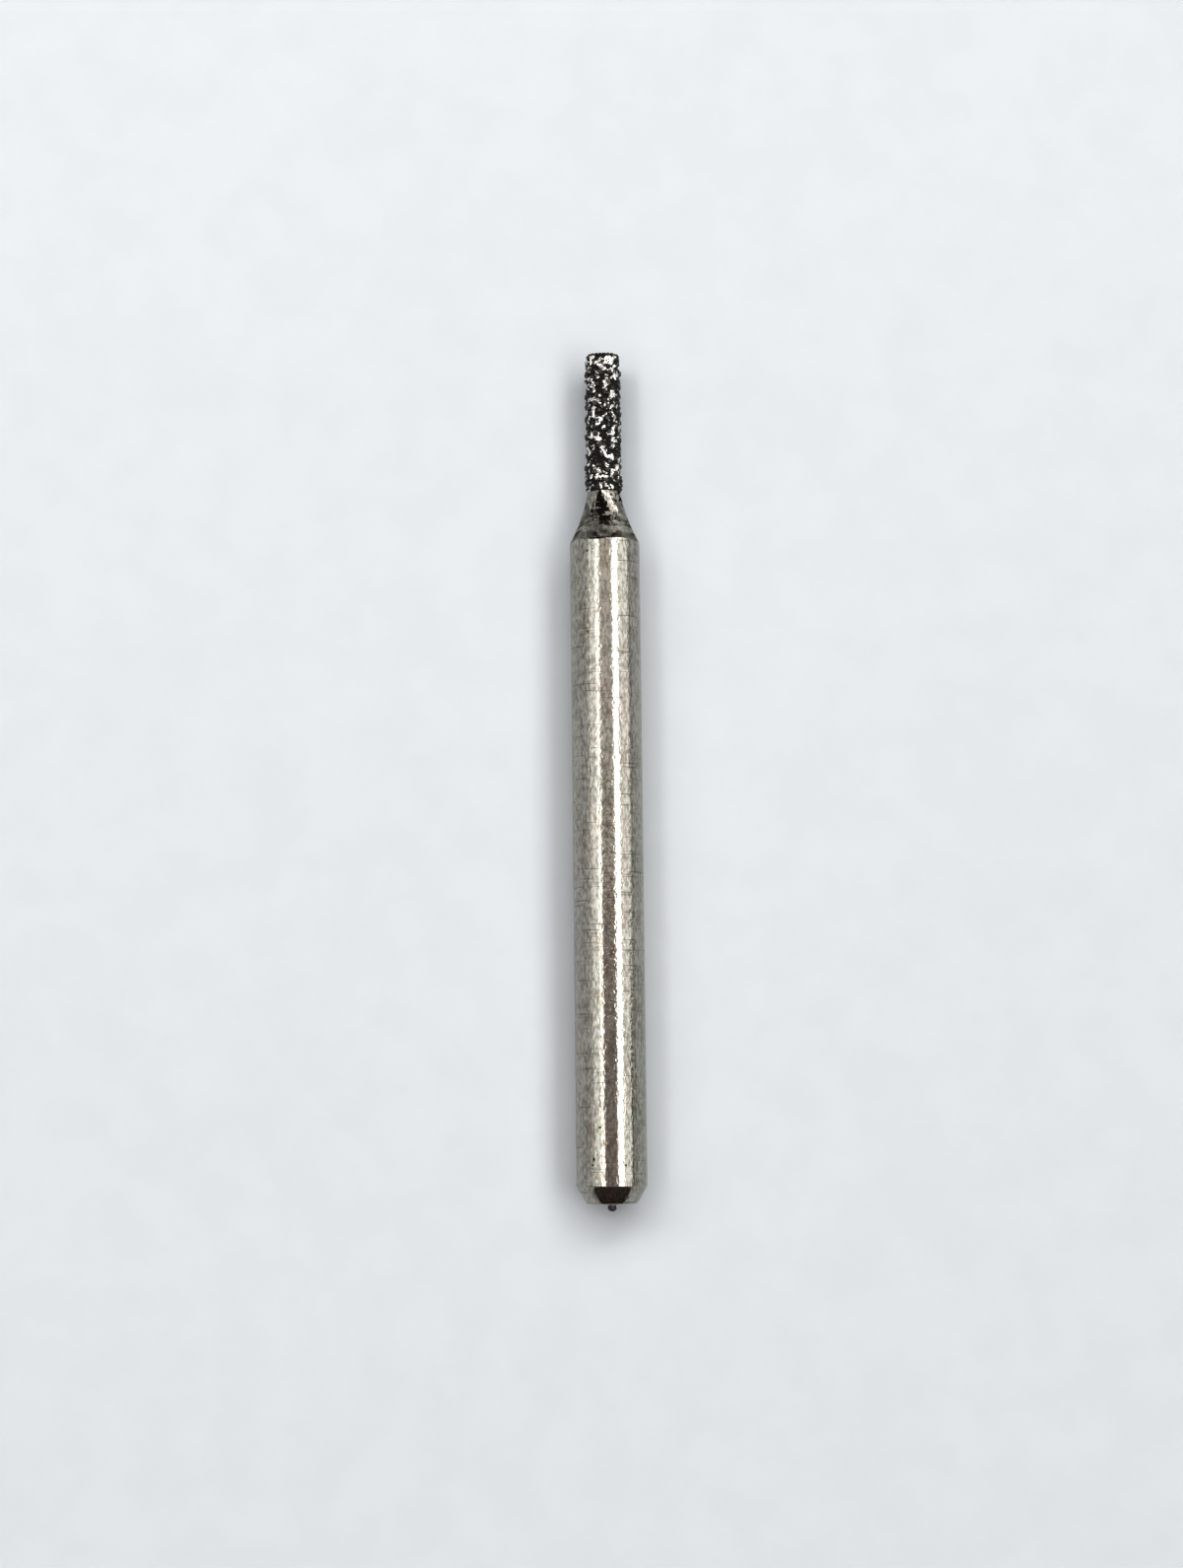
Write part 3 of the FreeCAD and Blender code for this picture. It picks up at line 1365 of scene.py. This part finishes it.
@dataclass(frozen=True)
class Panel:
    """One light panel on a side of the box, placed by the angles from the zenith of two edges.

    On the top and the side walls the angles lie across the bur, and its reach lies along it. On the
    front and rear walls they lie along the bur, and its reach lies across it.
    """

    name: str
    side: Side
    first_deg: float
    last_deg: float
    reach: Span
    radiance: float
    colour: str = "#ffffff"
    lights_floor: bool = True

    def make(self, half_width: float, height: float) -> bpy.types.Object:
        """Hangs the panel.

        Args:
            half_width: The distance from the bur to each wall, in metres.
            height: The height of the top, in metres.

        Returns:
            The light.
        """
        slopes = sorted(math.tan(math.radians(a)) for a in (self.first_deg, self.last_deg))
        reach_middle = sum(self.reach) / 2 * half_width
        reach_size = (self.reach[1] - self.reach[0]) * half_width
        if self.side is Side.TOP:
            across = [s * height for s in slopes]
            size = (across[1] - across[0], reach_size)
            place = (sum(across) / 2, reach_middle, height)
            turn = (0.0, 0.0, 0.0)
        else:
            levels = [half_width / s for s in slopes]
            rise = levels[0] - levels[1]
            middle = sum(levels) / 2
            size = (rise, reach_size)
            place = (half_width, reach_middle, middle)
            turn = (0.0, math.pi / 2, 0.0)
            if self.side is Side.LEFT:
                place = (-half_width, reach_middle, middle)
                turn = (0.0, -math.pi / 2, 0.0)
            if self.side is Side.FRONT:
                size = (reach_size, rise)
                place = (reach_middle, half_width, middle)
                turn = (-math.pi / 2, 0.0, 0.0)
            if self.side is Side.REAR:
                size = (reach_size, rise)
                place = (reach_middle, -half_width, middle)
                turn = (math.pi / 2, 0.0, 0.0)
        light = area_lamp(self.name, size, self.radiance, self.colour)
        light.location = place
        light.rotation_euler = turn
        light.visible_diffuse = self.lights_floor
        return light


@dataclass(frozen=True)
class LightBox:
    """A light box with two lit walls and a lit top that has a dim gap over the bur.

    The wall behind is a dim brown and the wall ahead is dark, apart from two thin slots, so the rear
    chamfer and the middle of the neck, which look that way, come out dark. The lit part's front edge
    runs in steps from panel to panel. It reaches farthest ahead over the gap and the right corner,
    which draws the neck's dark wedge with a light band on its right. A small fill lamp ahead of the
    head lights the floor and its shadows, and isn't seen in the metal.

    A panel that doesn't light the floor is seen in reflections only.
    """

    half_width: float = 0.40
    height: float = 0.616
    panels: tuple[Panel, ...] = (
        Panel("left_wall_low", Side.LEFT, 68, 89.5, (-1.0, 0.76), 0.85, "#fafcff", False),
        Panel("left_wall_middle", Side.LEFT, 56, 68, (-1.0, 0.86), 1.05, lights_floor=False),
        Panel("left_wall_high", Side.LEFT, 33, 56, (-1.0, 0.88), 1.75, lights_floor=False),
        Panel("left_top", Side.TOP, -33, -21.5, (-1.0, 1.0), 3.4),
        Panel("gap_rear", Side.TOP, -21.5, 21, (-1.6, 0.14), 0.52, "#fff2f0"),
        Panel("gap_front", Side.TOP, -21.5, 21, (0.14, 0.74), 1.10, "#fff9f6"),
        Panel("gap_edge_left", Side.TOP, -15, 3, (1.0, 1.14), 5.0),
        Panel("gap_edge", Side.TOP, 3, 21, (1.0, 1.32), 5.0),
        Panel("right_top", Side.TOP, 22, 33, (-1.0, 1.1), 4.6),
        Panel("right_top_edge", Side.TOP, 22, 33, (1.1, 1.6), 5.0),
        Panel("right_wall_top", Side.RIGHT, 33, 42, (-1.0, 1.05), 4.4),
        Panel("right_wall_rear", Side.RIGHT, 44, 71, (-1.0, 0.06), 1.7, lights_floor=False),
        Panel("right_wall_front", Side.RIGHT, 44, 78, (0.06, 0.75), 1.8, lights_floor=False),
        Panel("right_corner_top", Side.RIGHT, 33, 44, (1.15, 1.65), 5.0, lights_floor=False),
        Panel("right_corner_high", Side.RIGHT, 44, 56, (1.0, 1.35), 5.0, lights_floor=False),
        Panel("right_corner_middle", Side.RIGHT, 56, 72, (0.86, 1.08), 5.0, lights_floor=False),
        Panel("right_corner_low", Side.RIGHT, 72, 89.5, (0.75, 0.92), 5.0, lights_floor=False),
        Panel("right_wall_middle", Side.RIGHT, 78, 82, (-1.0, 0.75), 1.0, lights_floor=False),
        Panel("right_wall_low", Side.RIGHT, 82, 89.5, (-1.0, 0.75), 0.65, "#fafcff", False),
        Panel("front_ring_high", Side.FRONT, 59.5, 62, (-1.3, 1.3), 1.0, lights_floor=False),
        Panel("front_ring_low", Side.FRONT, 66, 68.5, (-1.3, 1.3), 1.6, lights_floor=False),
        Panel("front_wall_low", Side.FRONT, 75, 89.5, (-1.0, 1.0), 0.5, lights_floor=False),
        Panel("rear_wall", Side.REAR, 50, 76, (-1.3, 1.3), 0.09, "#ffd6d4", False),
        Panel("rear_wall_low", Side.REAR, 85, 89.5, (-1.0, 1.0), 0.5, lights_floor=False),
    )
    fill_place: Triple = (-0.03, 0.10, 0.13)
    fill_size: tuple[float, float] = (0.30, 0.06)
    fill_radiance: float = 4.0
    room: str = "#3f3a37"
    backdrop: str = "#e9edf2"
    seen_strength: float = 0.9
    fill_strength: float = 0.16

    def make(self) -> None:
        """Hangs the panels and sets the surroundings."""
        for panel in self.panels:
            panel.make(self.half_width, self.height)
        fill = area_lamp("fill_lamp", self.fill_size, self.fill_radiance)
        fill.location = self.fill_place
        fill.rotation_euler = Vector(self.fill_place).to_track_quat("Z", "Y").to_euler()
        fill.visible_glossy = False
        world = bpy.data.worlds.new("studio")
        bpy.context.scene.world = world
        world.use_nodes = True
        tree = world.node_tree
        tree.nodes.clear()
        path = add_node(tree, "LightPath").outputs
        inputs = (path["Is Camera Ray"], 0.0, 1.0, self.fill_strength, self.seen_strength)
        strength = add_node(tree, "MapRange", None, inputs).outputs[0]
        pale = add_node(tree, "Background", None, (self.backdrop, strength))
        room = add_node(tree, "Background", None, (self.room, 1.0))
        inputs = (path["Is Glossy Ray"], pale.outputs[0], room.outputs[0])
        both = add_node(tree, "MixShader", None, inputs)
        add_node(tree, "OutputWorld", None, (both.outputs[0],))


@dataclass(frozen=True)
class PhotographCamera:
    """The camera at the photograph's viewing angle."""

    place_mm: Triple = (-0.362, 1.921, 71.56)
    tilt_deg: float = 6.045
    roll_deg: float = -0.63
    lens_mm: float = 72.41
    sensor_mm: float = 36.0
    clip_m: Span = (0.001, 10.0)

    def make(self) -> bpy.types.Object:
        """Sets the camera up and makes it the scene's.

        Returns:
            The camera.
        """
        data = bpy.data.cameras.new("camera")
        data.sensor_fit = "VERTICAL"
        data.sensor_height = self.sensor_mm
        data.lens = self.lens_mm
        data.clip_start, data.clip_end = self.clip_m
        camera = bpy.data.objects.new("camera", data)
        tilt = Matrix.Rotation(math.radians(self.tilt_deg), 4, "X")
        roll = Matrix.Rotation(math.radians(self.roll_deg), 4, "Z")
        place = Matrix.Translation(Vector(self.place_mm) * METRES_PER_MM)
        camera.matrix_world = place @ tilt @ roll
        bpy.context.scene.collection.objects.link(camera)
        bpy.context.scene.camera = camera
        return camera


def main() -> None:
    """Builds the dressed bur, the stage and the camera, in order."""
    logging.basicConfig(level=logging.INFO, format="%(name)s: %(message)s")
    bpy.context.scene.view_settings.view_transform = "Standard"
    bpy.context.scene.view_settings.gamma = PHONE_GAMMA

    blank_low, blank_high = node_box_mm("turned_blank")
    bond_low, bond_high = node_box_mm("nickel_bond")

    neck = Neck(shoulder_r=blank_high.x)
    blank = TurnedBlank(neck, blank_low.y, blank_high.y)
    steel = GroundStainlessSteel().make(neck.shoulder_y, -blank.nib_root)
    diamond = BlockyDiamond().make()

    blank.make(steel)
    grit = DiamondGrit()
    crystals = grit.make()
    bond = NickelBond(neck, bond_low.y, bond_high.y, blank_high.y)
    fines = GritFines(bond.outer_r(), bond_low.y, bond_high.y)
    chips = fines.make(crystals)
    nickel = ElectroplatedNickel().make(bond_high.y)
    bond.make([crystals, chips], nickel)
    grit.dress(crystals, diamond)
    fines.dress(chips, diamond)

    Floor(-neck.shoulder_r).make(MattSheet().make())
    LightBox().make()
    PhotographCamera().make()


if __name__ == "__main__":
    main()
